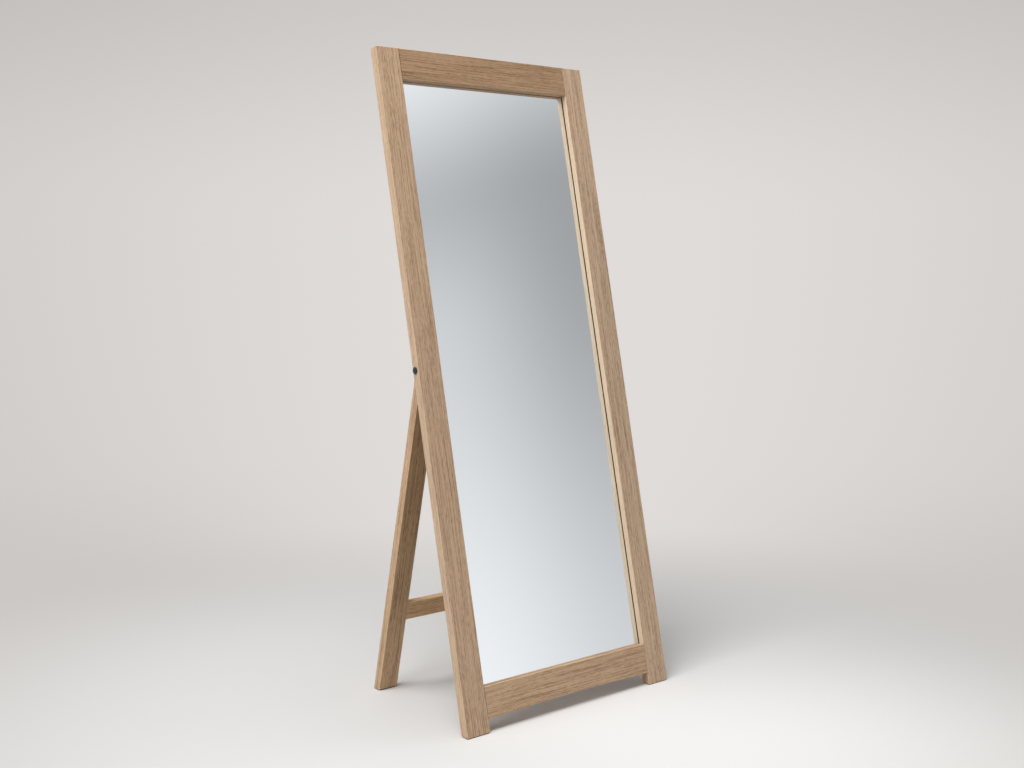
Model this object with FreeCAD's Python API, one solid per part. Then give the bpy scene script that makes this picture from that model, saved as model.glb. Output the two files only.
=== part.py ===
"""Free-standing oak floor mirror: a leaning frame carried by a folding stand behind it.

The frame is drawn flat, in its own plane: x across, y back from its front face, z up
its slope from the front edge of the feet. The stand is drawn about its pivot: x across,
y back and z up along the legs. Both are then placed on the floor, where +Z is up and
+Y points behind the mirror. All lengths are in millimetres and all angles in degrees.
"""
import FreeCAD, Part
import math
import os

# ---------------------------------------------------------------- frame
frame_width = 600.0
stile_length = 1500.0            # along the front face, from the foot to the top
frame_thickness = 22.0
stile_width = 60.0
top_rail_height = 70.0
bottom_rail_height = 69.0
bottom_rail_lift = 27.0          # from the stiles' feet to the rail's lower edge
bottom_rail_arch = 4.0           # rise of the rail's lower edge at mid-span
lean_angle = 12.4                # frame from upright
edge_radius = 1.5                # eased long edges of every oak piece
end_chamfer = 1.0                # eased top ends of the stiles

# ---------------------------------------------------------------- mirror in its rebate
rebate_width = 8.0               # from the sight edge to the rebate's wall
glass_thickness = 3.0
glass_clearance = 1.0            # all round the pane
glazing_strip_thickness = 2.0
glazing_strip_width = 6.0
glazing_strip_setback = 1.0      # behind the sight edge
board_thickness = 2.0
board_clearance = 0.5            # all round the board
board_recess = 1.0               # board's back from the frame's back
point_thickness = 0.5            # flat steel points that hold the board
point_width = 8.0
point_grip = 6.0                 # over the board
point_bite = 7.0                 # into the oak, tip included
point_tip = 3.0
point_corner = 50.0              # first point from the opening's corners
point_spacing = 250.0

# ---------------------------------------------------------------- stand
leg_width = 50.0
leg_thickness = 22.0
leg_inset = 24.0                 # from the frame's outer face to the leg's
open_angle = 25.75               # between frame and legs when the stand is open
pivot_height = 785.0             # up the slope of the frame
pivot_depth = 9.0                # in front of the frame's back face
fold_gap = 0.3                   # leg to frame, folded and at the open stop
leg_tip_thickness = 6.0          # blunt top end of the leg above its bevel
stretcher_height = 43.0
stretcher_thickness = 16.0
stretcher_setback = 1.0          # behind the legs' front faces
stretcher_lift = 172.0           # along the leg, from the foot to the stretcher

# ---------------------------------------------------------------- pivot
ear_thickness = 3.0              # also the bracket's plate
ear_inset = 3.0                  # from the leg's outer face to the ear
ear_radius = 8.0
ear_root_top = 4.0               # below the pivot, along the leg
ear_root_length = 14.0
plate_width = 26.0
plate_length = 42.0
bend_radius = 2.5                # outside of the bend between plate and ear
plate_clearance = 0.2            # recess in the leg, all round the plate
slot_gap = 0.3                   # each side of the bushed ear
slot_end_clearance = 1.0
bolt_radius = 3.0
bolt_thread_radius = 2.5
bolt_head_radius = 8.0
bolt_head_height = 3.6
bolt_head_bevel = 2.4            # of the head's height and radius
bolt_socket_size = 4.0           # across the flats
bolt_socket_depth = 2.2
bolt_end_margin = 3.0            # thread beyond the barrel nut
bolt_hole_clearance = 0.2
running_clearance = 0.08         # bolt to bush, on the radius
bush_wall = 1.0
flange_radius = 6.0
flange_thickness = 0.8
barrel_nut_radius = 4.0
barrel_nut_length = 11.0
barrel_nut_wall = 1.4            # oak between slot and nut
barrel_nut_slit = 1.0            # width and depth of its screwdriver slit
bracket_screw_radius = 2.0
bracket_screw_head_radius = 4.0
bracket_screw_head_depth = 2.4
bracket_screw_length = 17.0
bracket_screw_spacing = 20.0
bracket_screw_offset = 12.0      # from the plate's top
screw_clearance = 0.1

# ---------------------------------------------------------------- joinery
frame_tenon_length = 50.0        # half in the stile, half in the rail
frame_tenon_width = 42.0
frame_tenon_thickness = 8.0
frame_tenon_offset = 12.0        # from the rail's outer edge
stretcher_tenon_length = 40.0
stretcher_tenon_width = 25.0
stretcher_tenon_thickness = 6.0
glue_gap = 0.1

# ---------------------------------------------------------------- feet
pad_thickness = 2.0
pad_inset = 1.0                  # inside the foot's edges

# ---------------------------------------------------------------- drawing
overrun = 1.0                    # of a cut past the face that it opens
touching = 0.001                 # greatest distance at which points count as one

# ---------------------------------------------------------------- worked out
vector = FreeCAD.Vector
across = vector(1, 0, 0)
backward = vector(0, 1, 0)
upward = vector(0, 0, 1)

lean = math.radians(lean_angle)
opening = math.radians(open_angle)
leg_lean_angle = open_angle - lean_angle
leg_lean = math.radians(leg_lean_angle)

outer_x = frame_width / 2
sight_x = outer_x - stile_width
sight_bottom = bottom_rail_lift + bottom_rail_height
sight_top = stile_length - top_rail_height
board_back = frame_thickness - board_recess
glass_back = board_back - board_thickness
glass_front = glass_back - glass_thickness
lip_back = glass_front - glazing_strip_thickness

pivot_y = frame_thickness - pivot_depth
leg_front = pivot_depth + fold_gap
leg_back = leg_front + leg_thickness
leg_outer_x = outer_x - leg_inset
leg_inner_x = leg_outer_x - leg_width

ear_outer_x = leg_outer_x - ear_inset
ear_inner_x = ear_outer_x - ear_thickness
slot_outer_x = ear_outer_x + flange_thickness + slot_gap
slot_inner_x = ear_inner_x - slot_gap
slot_depth = pivot_depth + ear_radius + slot_end_clearance
nut_x = slot_inner_x - barrel_nut_wall - barrel_nut_radius
bolt_tip_x = nut_x - barrel_nut_radius - bolt_end_margin
bush_radius = bolt_radius + running_clearance
ear_hole_radius = bush_radius + bush_wall
plate_top = -ear_root_top
plate_bottom = plate_top - plate_length
plate_back = leg_front + ear_thickness
ear_root_bottom = plate_top - ear_root_length


def frame_to_floor(y, z):
    """Depth and height on the floor of a point of the leaning frame, its foot at depth 0."""
    depth = y * math.cos(lean) + z * math.sin(lean)
    height = pad_thickness - y * math.sin(lean) + z * math.cos(lean)
    return depth, height


pivot_from_foot, pivot_above_floor = frame_to_floor(pivot_y, pivot_height)


def leg_foot(y):
    """z, along the leg, at which a line of the leg at depth y meets its foot pad."""
    drop = pivot_above_floor - pad_thickness
    return -(drop + y * math.sin(leg_lean)) / math.cos(leg_lean)


def foot_depth(y):
    """Depth on the floor of the leg's foot at depth y in the leg."""
    return pivot_from_foot + y * math.cos(leg_lean) - leg_foot(y) * math.sin(leg_lean)


def bevel(y):
    """z at which the leg's bevelled top, which bears on the frame when open, meets depth y."""
    return (y * math.cos(opening) - leg_front) / math.sin(opening)


front_y = -foot_depth(leg_back) / 2    # centres the footprint on the origin
frame_place = FreeCAD.Placement(vector(0, front_y, pad_thickness), FreeCAD.Rotation(across, -lean_angle))
stand_place = FreeCAD.Placement(vector(0, front_y + pivot_from_foot, pivot_above_floor),
                                FreeCAD.Rotation(across, leg_lean_angle))
floor_place = FreeCAD.Placement()


# ---------------------------------------------------------------- shapes used by several pieces
def block(x_range, y_range, z_range):
    """Box between two values on each axis."""
    corner = vector(x_range[0], y_range[0], z_range[0])
    return Part.makeBox(x_range[1] - x_range[0], y_range[1] - y_range[0], z_range[1] - z_range[0], corner)


def centred(middle, size):
    """Range of a size about its middle."""
    return middle - size / 2, middle + size / 2


def rod(radius, start, direction, length):
    return Part.makeCylinder(radius, length, start, direction)


def prism(points, direction):
    """Solid swept from a flat outline."""
    return Part.Face(Part.makePolygon(points + points[:1])).extrude(direction)


def turned(outline, start):
    """Solid of revolution about an axis across the mirror, from (along, radius) points."""
    points = [vector(along, 0, radius) for along, radius in outline]
    solid = Part.Face(Part.makePolygon(points + points[:1])).revolve(vector(0, 0, 0), across, 360)
    solid.translate(start)
    return solid


def runs_along(edge, direction):
    """True for an edge that lies along a direction from end to end."""
    start, end = edge.Vertexes[0].Point, edge.Vertexes[-1].Point
    return (end - start).cross(direction).Length < touching


def ease(solid, wanted):
    """Round the edges that the test picks, to the radius of every eased edge."""
    return solid.makeFillet(edge_radius, [edge for edge in solid.Edges if wanted(edge)])


def mirrored(solid):
    """The right-hand piece of a left-hand one."""
    return solid.mirror(vector(0, 0, 0), across)


def both(solids):
    """Left-hand solids with their right-hand ones."""
    return solids + [mirrored(solid) for solid in solids]


def cut_all(solid, tools):
    """Solid with every tool taken out of it."""
    return solid.cut(Part.makeCompound(tools))


def spread(low, high, spacing):
    """Evenly spaced places from low to high, close to a spacing apart."""
    gaps = max(1, round((high - low) / spacing))
    return [low + (high - low) * step / gaps for step in range(gaps + 1)]


# ---------------------------------------------------------------- frame joinery and fasteners
def frame_tenons(clearance):
    """Loose tenons across the frame's four joints, or with a clearance their mortises."""
    bottom = bottom_rail_lift + frame_tenon_offset - clearance
    top = stile_length - frame_tenon_offset + clearance
    width = frame_tenon_width + 2 * clearance
    span = centred(-sight_x, frame_tenon_length + 2 * clearance)
    depths = centred(frame_thickness / 2, frame_tenon_thickness + 2 * clearance)
    return both([block(span, depths, (bottom, bottom + width)), block(span, depths, (top - width, top))])


def board_point(place, outward, clearance):
    """Steel point driven outward into the rebate's wall behind the board, or its hole."""
    half = point_width / 2 + clearance
    shoulder = outward * (point_bite - point_tip)
    tip = outward * (point_bite + clearance)
    heel = outward * -point_grip
    side = outward.cross(backward) * half
    lift = backward * clearance
    outline = [place + heel + side, place + shoulder + side, place + tip,
               place + shoulder - side, place + heel - side]
    return prism([corner - lift for corner in outline], backward * (point_thickness + 2 * clearance))


def board_points(clearance):
    """Points up both sides of the rebate and across its top and bottom."""
    wall_x = sight_x + rebate_width
    low, high = sight_bottom - rebate_width, sight_top + rebate_width
    heights = spread(sight_bottom + point_corner, sight_top - point_corner, point_spacing)
    widths = spread(point_corner - sight_x, sight_x - point_corner, point_spacing)
    left = [board_point(vector(-wall_x, board_back, z), -across, clearance) for z in heights]
    bottom = [board_point(vector(x, board_back, low), -upward, clearance) for x in widths]
    top = [board_point(vector(x, board_back, high), upward, clearance) for x in widths]
    return both(left) + bottom + top


# ---------------------------------------------------------------- frame pieces
def sheet(overlap, depths):
    """Flat sheet that fills the opening and reaches behind its sight edges."""
    heights = (sight_bottom - overlap, sight_top + overlap)
    return block((-sight_x - overlap, sight_x + overlap), depths, heights)


def rebate():
    """Room behind the lip for the strips, the pane and the board."""
    return sheet(rebate_width, (lip_back, frame_thickness + overrun))


def pivot_cuts():
    """Slot for the ear, and holes for the bolt and the barrel nut, in the left stile."""
    low = pivot_height + ear_root_bottom - slot_end_clearance
    high = pivot_height + ear_radius + slot_end_clearance
    bottom = frame_thickness - slot_depth
    slot = block((-slot_outer_x, -slot_inner_x), (bottom, frame_thickness + overrun), (low, high))
    head_seat = vector(-outer_x, pivot_y, pivot_height)
    shoulder_hole = rod(bolt_radius + bolt_hole_clearance, head_seat, across, outer_x - slot_outer_x)
    thread_hole = rod(bolt_thread_radius + bolt_hole_clearance, head_seat, across,
                      outer_x - bolt_tip_x + bolt_hole_clearance)
    nut_end = vector(-nut_x, pivot_y - barrel_nut_length / 2 - glue_gap, pivot_height)
    nut_hole = rod(barrel_nut_radius + glue_gap, nut_end, backward, frame_thickness)
    return [slot, shoulder_hole, thread_hole, nut_hole]


def stile():
    """Left stile: full height, its foot cut level with the floor."""
    foot_rise = frame_thickness * math.tan(lean)
    outline = [vector(-outer_x, 0, 0), vector(-outer_x, frame_thickness, foot_rise),
               vector(-outer_x, frame_thickness, stile_length), vector(-outer_x, 0, stile_length)]
    bar = prism(outline, across * stile_width)
    bar = ease(bar, lambda edge: runs_along(edge, upward))
    top = max(bar.Faces, key=lambda face: face.CenterOfMass.z)
    bar = bar.makeChamfer(end_chamfer, top.Edges)
    return cut_all(bar, [rebate()] + pivot_cuts() + frame_tenons(glue_gap) + board_points(glue_gap))


def finish_rail(bar):
    """Rail with its long edges eased, rebated and mortised."""
    bar = ease(bar, lambda edge: edge.BoundBox.XLength > sight_x)
    return cut_all(bar, [rebate()] + frame_tenons(glue_gap) + board_points(glue_gap))


def top_rail():
    return finish_rail(block((-sight_x, sight_x), (0, frame_thickness), (sight_top, stile_length)))


def bottom_rail():
    """Bottom rail, its lower edge a shallow arch between the stiles."""
    low_left, low_right = vector(-sight_x, 0, bottom_rail_lift), vector(sight_x, 0, bottom_rail_lift)
    crown = vector(0, 0, bottom_rail_lift + bottom_rail_arch)
    top_right, top_left = vector(sight_x, 0, sight_bottom), vector(-sight_x, 0, sight_bottom)
    arch = Part.Arc(low_left, crown, low_right).toShape()
    straight = Part.makePolygon([low_right, top_right, top_left, low_left])
    outline = Part.Wire([arch] + straight.Edges)
    return finish_rail(Part.Face(outline).extrude(backward * frame_thickness))


def mirror_glass():
    return sheet(rebate_width - glass_clearance, (glass_front, glass_back))


def back_board():
    return sheet(rebate_width - board_clearance, (glass_back, board_back))


def glazing_strips():
    """Four foam strips between the frame's lip and the pane."""
    near = glazing_strip_setback
    far = near + glazing_strip_width
    depths = (lip_back, glass_front)
    left = block((-sight_x - far, -sight_x - near), depths, (sight_bottom - far, sight_top + far))
    span = (-sight_x - near, sight_x + near)
    bottom = block(span, depths, (sight_bottom - far, sight_bottom - near))
    top = block(span, depths, (sight_top + near, sight_top + far))
    return both([left]) + [bottom, top]


# ---------------------------------------------------------------- pivot pieces
def pivot_bolt():
    """Shoulder bolt from the stile's outer face through the ear and into the barrel nut.

    Its low bevelled head has a hexagon socket, and its shoulder ends on the slot's far wall.
    """
    seat = vector(-outer_x, pivot_y, pivot_height)
    shoulder_end = outer_x - slot_inner_x
    tip = outer_x - bolt_tip_x
    head = [(-bolt_head_height, 0), (-bolt_head_height, bolt_head_radius - bolt_head_bevel),
            (bolt_head_bevel - bolt_head_height, bolt_head_radius), (0, bolt_head_radius)]
    stem = [(0, bolt_radius), (shoulder_end, bolt_radius), (shoulder_end, bolt_thread_radius),
            (tip, bolt_thread_radius), (tip, 0)]
    corner = bolt_socket_size / math.sqrt(3)
    turns = [math.radians(60 * step) for step in range(6)]
    mouth = seat - across * bolt_head_height
    hexagon = [mouth + vector(0, corner * math.sin(turn), corner * math.cos(turn)) for turn in turns]
    return turned(head + stem, seat).cut(prism(hexagon, across * bolt_socket_depth))


def barrel_nut():
    """Cross dowel in the stile, drilled for the bolt and slit for a screwdriver."""
    low_y, high_y = centred(pivot_y, barrel_nut_length)
    body = rod(barrel_nut_radius, vector(-nut_x, low_y, pivot_height), backward, barrel_nut_length)
    bore_start = vector(-nut_x - 2 * barrel_nut_radius, pivot_y, pivot_height)
    bore = rod(bolt_thread_radius + glue_gap, bore_start, across, 4 * barrel_nut_radius)
    slit = block(centred(-nut_x, 2 * barrel_nut_radius), (high_y - barrel_nut_slit, high_y),
                 centred(pivot_height, barrel_nut_slit))
    return cut_all(body, [bore, slit])


def tangent_point(y, z, side):
    """Where a straight line from (y, z) touches the ear's round end, on one side of it."""
    turn = math.atan2(z, y) + side * math.acos(ear_radius / math.hypot(y, z))
    return vector(-ear_outer_x, ear_radius * math.cos(turn), ear_radius * math.sin(turn))


def pivot_ear():
    """Tab of the bracket that tapers forward into the stile's slot and holds the bush."""
    root = [(leg_front, plate_top), (plate_back, plate_top), (plate_back, ear_root_bottom),
            (leg_front, ear_root_bottom)]
    outline = [tangent_point(leg_front, plate_top, 1)]
    outline += [vector(-ear_outer_x, y, z) for y, z in root]
    outline += [tangent_point(leg_front, ear_root_bottom, -1)]
    web = prism(outline, across * ear_thickness)
    pivot = vector(-ear_outer_x, 0, 0)
    eye = rod(ear_radius, pivot, across, ear_thickness)
    hole = rod(ear_hole_radius, pivot, across, ear_thickness)
    return web.fuse(eye).cut(hole)


def bracket_screws(clearance):
    """Countersunk screws down the middle of the plate beside the ear, or their holes."""
    x = (plate_width - ear_outer_x - ear_inner_x) / 2
    first = plate_top - bracket_screw_offset
    screws = []
    for z in (first, first - bracket_screw_spacing):
        place = vector(x, leg_front, z)
        head = Part.makeCone(bracket_screw_head_radius + clearance, bracket_screw_radius + clearance,
                             bracket_screw_head_depth, place, backward)
        shank = rod(bracket_screw_radius + clearance, place, backward, bracket_screw_length + clearance)
        screws.append(head.fuse(shank).removeSplitter())
    return screws


def pivot_bracket():
    """Bent steel plate: let into the leg's front face, with the ear turned up at one side."""
    span = (-ear_outer_x, plate_width - ear_outer_x)
    plate = block(span, (leg_front, plate_back), (plate_bottom, plate_top))
    bracket = plate.fuse(pivot_ear()).removeSplitter()
    bend = Part.Vertex(-ear_outer_x, plate_back, (plate_top + plate_bottom) / 2)
    bend_edges = [edge for edge in bracket.Edges if edge.distToShape(bend)[0] < touching]
    return cut_all(bracket.makeFillet(bend_radius, bend_edges), bracket_screws(screw_clearance))


def pivot_bush():
    """Flanged bush in the ear's eye, turning on the bolt's shoulder."""
    sleeve_end = flange_thickness + ear_thickness
    outline = [(0, bush_radius), (0, flange_radius), (flange_thickness, flange_radius),
               (flange_thickness, ear_hole_radius), (sleeve_end, ear_hole_radius), (sleeve_end, bush_radius)]
    return turned(outline, vector(-ear_outer_x - flange_thickness, 0, 0))


# ---------------------------------------------------------------- stand pieces
def stretcher_range():
    """Bottom and top of the stretcher, along the legs."""
    bottom = leg_foot(leg_front) + stretcher_lift
    return bottom, bottom + stretcher_height


def stretcher_tenons(clearance):
    """Loose tenons at both ends of the stretcher, or with a clearance their mortises."""
    front = leg_front + stretcher_setback
    span = centred(-leg_inner_x, stretcher_tenon_length + 2 * clearance)
    depths = centred(front + stretcher_thickness / 2, stretcher_tenon_thickness + 2 * clearance)
    heights = centred(sum(stretcher_range()) / 2, stretcher_tenon_width + 2 * clearance)
    return both([block(span, depths, heights)])


def leg():
    """Left leg: foot level with the floor, top bevelled to bear on the frame's back."""
    tip_y = leg_back - leg_tip_thickness
    tip_z = bevel(tip_y)
    profile = [(leg_front, leg_foot(leg_front)), (leg_back, leg_foot(leg_back)), (leg_back, tip_z),
               (tip_y, tip_z), (leg_front, bevel(leg_front))]
    bar = prism([vector(-leg_outer_x, y, z) for y, z in profile], across * leg_width)
    bar = ease(bar, lambda edge: runs_along(edge, upward))
    recess_x = (-ear_outer_x - plate_clearance, plate_width - ear_outer_x + plate_clearance)
    recess_z = (plate_bottom - plate_clearance, plate_top + plate_clearance)
    recess = block(recess_x, (leg_front - overrun, plate_back), recess_z)
    return cut_all(bar, [recess] + bracket_screws(screw_clearance) + stretcher_tenons(glue_gap))


def stretcher():
    front = leg_front + stretcher_setback
    bar = block((-leg_inner_x, leg_inner_x), (front, front + stretcher_thickness), stretcher_range())
    bar = ease(bar, lambda edge: runs_along(edge, across))
    return cut_all(bar, stretcher_tenons(glue_gap))


# ---------------------------------------------------------------- feet
def foot_pad(outer, width, y_front, y_back):
    """Pad under a foot on the left, a little inside its edges."""
    return block((pad_inset - outer, width - pad_inset - outer), (y_front + pad_inset, y_back - pad_inset),
                 (0, pad_thickness))


def front_pad():
    return foot_pad(outer_x, stile_width, front_y, front_y + frame_thickness / math.cos(lean))


def rear_pad():
    return foot_pad(leg_outer_x, leg_width, front_y + foot_depth(leg_front), front_y + foot_depth(leg_back))


# ---------------------------------------------------------------- the whole mirror
def write(node, solids, place):
    """One STEP file for a node, its solids moved to their place on the floor."""
    placed = []
    for solid in solids:
        copy = solid.copy()
        copy.Placement = place.multiply(copy.Placement)
        placed.append(copy)
    shape = placed[0] if len(placed) == 1 else Part.makeCompound(placed)
    assert shape.isValid(), node
    shape.exportStep(f"parts/{node}.step")
    print(f"{node}: {len(shape.Solids)} solid(s), {sum(part.Volume for part in shape.Solids) / 1000:.1f} cm3")


def write_pair(name, solid, place):
    """The left-hand piece and its mirror image on the right."""
    write(f"{name}_left", [solid], place)
    write(f"{name}_right", [mirrored(solid)], place)


def main():
    os.makedirs("parts", exist_ok=True)
    write_pair("stile", stile(), frame_place)
    write("top_rail", [top_rail()], frame_place)
    write("bottom_rail", [bottom_rail()], frame_place)
    write("frame_tenons", frame_tenons(0), frame_place)
    write("mirror_glass", [mirror_glass()], frame_place)
    write("glazing_strips", glazing_strips(), frame_place)
    write("back_board", [back_board()], frame_place)
    write("board_points", board_points(0), frame_place)
    write_pair("pivot_bolt", pivot_bolt(), frame_place)
    write_pair("barrel_nut", barrel_nut(), frame_place)
    write_pair("pivot_bracket", pivot_bracket(), stand_place)
    write("bracket_screws", both(bracket_screws(0)), stand_place)
    write_pair("pivot_bush", pivot_bush(), stand_place)
    write_pair("leg", leg(), stand_place)
    write("stretcher", [stretcher()], stand_place)
    write("stretcher_tenons", stretcher_tenons(0), stand_place)
    write_pair("foot_pad_front", front_pad(), floor_place)
    write_pair("foot_pad_rear", rear_pad(), floor_place)
    print(f"pivot: depth {front_y + pivot_from_foot:.3f}, height {pivot_above_floor:.3f} mm")
    print(f"the stand folds through {open_angle} degrees")


main()
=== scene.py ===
# %% [markdown]
# # A free-standing oak floor mirror
# A plain oak frame leans back a little and stands on its own two feet and on a two-legged stand,
# which is hinged to the back of the frame. The shapes of the boards, the pane and the pivots come
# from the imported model, in metres, with +Z up and +Y behind the mirror. This script dresses them:
# it writes every finish as a tree of shader nodes, and models the few small things whose fine
# detail only a mesh can carry, which are the bolts, the screws and the felt under the feet.

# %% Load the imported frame
import math
import bmesh
import bpy
from mathutils import Matrix, Vector


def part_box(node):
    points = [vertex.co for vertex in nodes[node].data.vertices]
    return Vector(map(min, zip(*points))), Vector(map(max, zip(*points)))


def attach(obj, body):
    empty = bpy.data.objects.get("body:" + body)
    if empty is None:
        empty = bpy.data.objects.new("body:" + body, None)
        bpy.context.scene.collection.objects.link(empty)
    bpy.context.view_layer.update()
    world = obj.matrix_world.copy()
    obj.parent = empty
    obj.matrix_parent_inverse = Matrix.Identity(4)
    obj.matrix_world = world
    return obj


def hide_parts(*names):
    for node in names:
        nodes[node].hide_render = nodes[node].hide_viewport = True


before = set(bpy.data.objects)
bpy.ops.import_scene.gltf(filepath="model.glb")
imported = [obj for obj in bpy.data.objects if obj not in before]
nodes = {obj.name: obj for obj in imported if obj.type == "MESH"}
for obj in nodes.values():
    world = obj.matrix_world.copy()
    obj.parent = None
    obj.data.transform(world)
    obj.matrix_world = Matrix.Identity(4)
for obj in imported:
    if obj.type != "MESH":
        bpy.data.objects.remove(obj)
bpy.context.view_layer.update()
millimetre = 0.001

# %% [markdown]
# ## Which way the boards face
# The frame leans back and the stand leans forward, so their boards are not square to the world.
# A finish with a grain has to know those two angles. They could be typed in, but then they would
# go wrong as soon as the model changed. Two nodes are made of plain boxes, the pane and the loose
# tenons of the stretcher, and the shortest edge of a box points through its thickness. So that edge
# gives the angle of everything that is built square to it.

# %% Measure the two lean angles
def thickness_direction(node):
    """Unit vector, towards +Y, along the shortest edge of a node made of plain boxes."""
    corners = [vertex.co for vertex in nodes[node].data.vertices]
    first = corners[0]
    steps = [corner - first for corner in corners if (corner - first).length > 0.1 * millimetre]
    shortest = min(steps, key=lambda step: step.length).normalized()
    return shortest if shortest.y > 0 else -shortest


def lean_back(node):
    """Angle of a node's plane from upright, in radians, positive when its top is further back."""
    direction = thickness_direction(node)
    return math.atan2(-direction.z, direction.y)


frame_lean = lean_back("mirror_glass")
stand_lean = lean_back("stretcher_tenons")
frame_turn = Matrix.Rotation(-frame_lean, 4, "X")
stand_turn = Matrix.Rotation(-stand_lean, 4, "X")
print(f"frame leans {math.degrees(frame_lean):.2f} degrees, stand {math.degrees(stand_lean):.2f} degrees")

# %% [markdown]
# ## The camera
# The photograph was matched by fitting a camera to the corners of the frame. It stands to the left
# of the mirror and about two thirds of the way up, looks slightly down, and has a normal lens. It
# could also be placed by eye, but a fitted camera puts every edge on its pixel, so that what still
# differs is a real difference in shape or finish.

# %% Place the camera
camera_place = Vector((-1.8697, -2.2603, 1.0183))
camera_pitch = 5.877             # degrees below the horizon
camera_yaw = 39.319              # degrees to the right of +Y
lens_in_pixels = 1276.97
photo_width = 1024
sensor_width = 36.0

camera_data = bpy.data.cameras.new("camera")
camera_data.sensor_width = sensor_width
camera_data.lens = lens_in_pixels * sensor_width / photo_width
camera = bpy.data.objects.new("camera", camera_data)
camera.location = camera_place
camera.rotation_euler = (math.radians(90 - camera_pitch), 0, math.radians(-camera_yaw))
scene = bpy.context.scene
scene.collection.objects.link(camera)
scene.camera = camera
scene.view_settings.view_transform = "Standard"
print(f"lens {camera_data.lens:.2f} mm")

# %% [markdown]
# ## Turning an outline into a round piece
# Bolts, screws and even the studio wall are round. Blender has a Screw modifier and a Spin tool for
# that, and a short function in mesh code does the same with no operators: it copies an outline of
# (radius, height) points round an axis and joins the copies with faces. An outline that runs upwards
# gives faces that look outwards. First come two helpers that make an object from a mesh.

# %% Objects from mesh code
crease_angle = 35.0              # degrees; sharper edges stay sharp under smooth shading


def link(name, mesh):
    """A new object at the origin that shows a mesh."""
    piece = bpy.data.objects.new(name, mesh)
    scene.collection.objects.link(piece)
    return piece


def finish_mesh(shape, name):
    """Object from a bmesh: smooth shading, with edges sharper than the crease angle kept sharp."""
    for face in shape.faces:
        face.smooth = True
    for edge in shape.edges:
        edge.smooth = edge.calc_face_angle(0.0) < math.radians(crease_angle)
    mesh = bpy.data.meshes.new(name)
    shape.to_mesh(mesh)
    shape.free()
    return link(name, mesh)


# %% [markdown]
# A ring is a circle unless its point of the outline names another shape. A hexagon or a cross cuts the
# socket of a bolt or the recess of a screw into the same mesh, where a boolean would leave thin slivers.

# %% Shapes of a ring
def circle(turn):
    """Reach of a round ring: the same at every turn."""
    return 1.0


def hexagon(turn):
    """Reach of a hexagon whose flats are 1 from the axis."""
    flat = math.radians(60)
    return 1 / math.cos(turn % flat - flat / 2)


def cross(turn, arm=0.26):
    """Reach of a screwdriver's cross whose arms are 1 long and twice the arm's share wide."""
    from_axis = abs((turn + math.radians(45)) % math.radians(90) - math.radians(45))
    return min(1 / math.cos(from_axis), arm / max(math.sin(from_axis), arm / 2))


# %% [markdown]
# Each point of the outline becomes a ring of vertices, or a single one where it lies on the axis. Faces
# between neighbouring rings close the surface, and they become triangles at the axis.

# %% The lathe
def lathe(name, outline, steps):
    """Object made by turning (radius, height) or (radius, height, ring) points about a z axis."""
    shape = bmesh.new()
    rings = []
    for radius, height, *ring in outline:
        if radius == 0:
            rings.append([shape.verts.new((0, 0, height))] * steps)
            continue
        reach = ring[0] if ring else circle
        turns = [2 * math.pi * step / steps for step in range(steps)]
        reaches = [radius * reach(turn) for turn in turns]
        spots = [(far * math.cos(turn), far * math.sin(turn), height) for far, turn in zip(reaches, turns)]
        rings.append([shape.verts.new(spot) for spot in spots])
    for lower, upper in zip(rings, rings[1:]):
        for step in range(steps):
            after = (step + 1) % steps
            corners = dict.fromkeys([lower[step], lower[after], upper[after], upper[step]])
            if len(corners) > 2:
                shape.faces.new(list(corners))
    return finish_mesh(shape, name)


def arc(centre, radius, start, end, steps):
    """(radius, height) points on an arc of an outline, with its angles in degrees."""
    turns = [math.radians(start + (end - start) * step / steps) for step in range(steps + 1)]
    return [(centre[0] + radius * math.cos(turn), centre[1] + radius * math.sin(turn)) for turn in turns]


# %% [markdown]
# ## Writing shader nodes as arithmetic
# A shader tree is a sum: a colour plus a noise times a strength. Adding each Math node by hand hides
# that. Here a small class stands for one output of a tree. Python's operators on it add the Math
# nodes, and `1 - mask` works as well as `mask - 1`.

# %% A class for values
class Value:
    """One output of a node tree. Arithmetic on it adds Math nodes to the tree."""

    def __init__(self, tree, socket):
        self.tree = tree
        self.socket = socket

    def __add__(self, other):
        return self.tree.math("ADD", self, other)

    __radd__ = __add__

    def __sub__(self, other):
        return self.tree.math("SUBTRACT", self, other)

    def __rsub__(self, other):
        return self.tree.math("SUBTRACT", other, self)

    def __mul__(self, other):
        return self.tree.math("MULTIPLY", self, other)

    __rmul__ = __mul__

    def __truediv__(self, other):
        return self.tree.math("DIVIDE", self, other)


# %% [markdown]
# Any other node comes from one method. It sets the node's options first, because they can change its
# sockets, and then fills the sockets with constants or links.

# %% A class for trees
class Tree:
    """Adds nodes to a shader or geometry tree and links them."""

    def __init__(self, node_tree):
        self.node_tree = node_tree

    def node(self, kind, settings=None, sockets=None):
        """A new node: its settings first, then the values or links of its sockets."""
        made = self.node_tree.nodes.new(kind)
        for name, setting in (settings or {}).items():
            setattr(made, name, setting)
        for name, value in (sockets or {}).items():
            self.fill(made.inputs[name], value)
        return made

    def fill(self, socket, value):
        """Link a value of the tree to a socket, or set the socket to a constant."""
        if isinstance(value, Value):
            self.node_tree.links.new(value.socket, socket)
        else:
            socket.default_value = value

    def add(self, kind, settings=None, sockets=None, output=0):
        """A new node, and the value of one of its outputs."""
        return Value(self, self.node(kind, settings, sockets).outputs[output])

    def math(self, operation, *values):
        return self.add("ShaderNodeMath", {"operation": operation}, dict(enumerate(values)))


# %% [markdown]
# A finish is a material with one Principled shader. Noises, smooth steps and blends of colours come
# back in almost every finish, so each has a short method.

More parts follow.
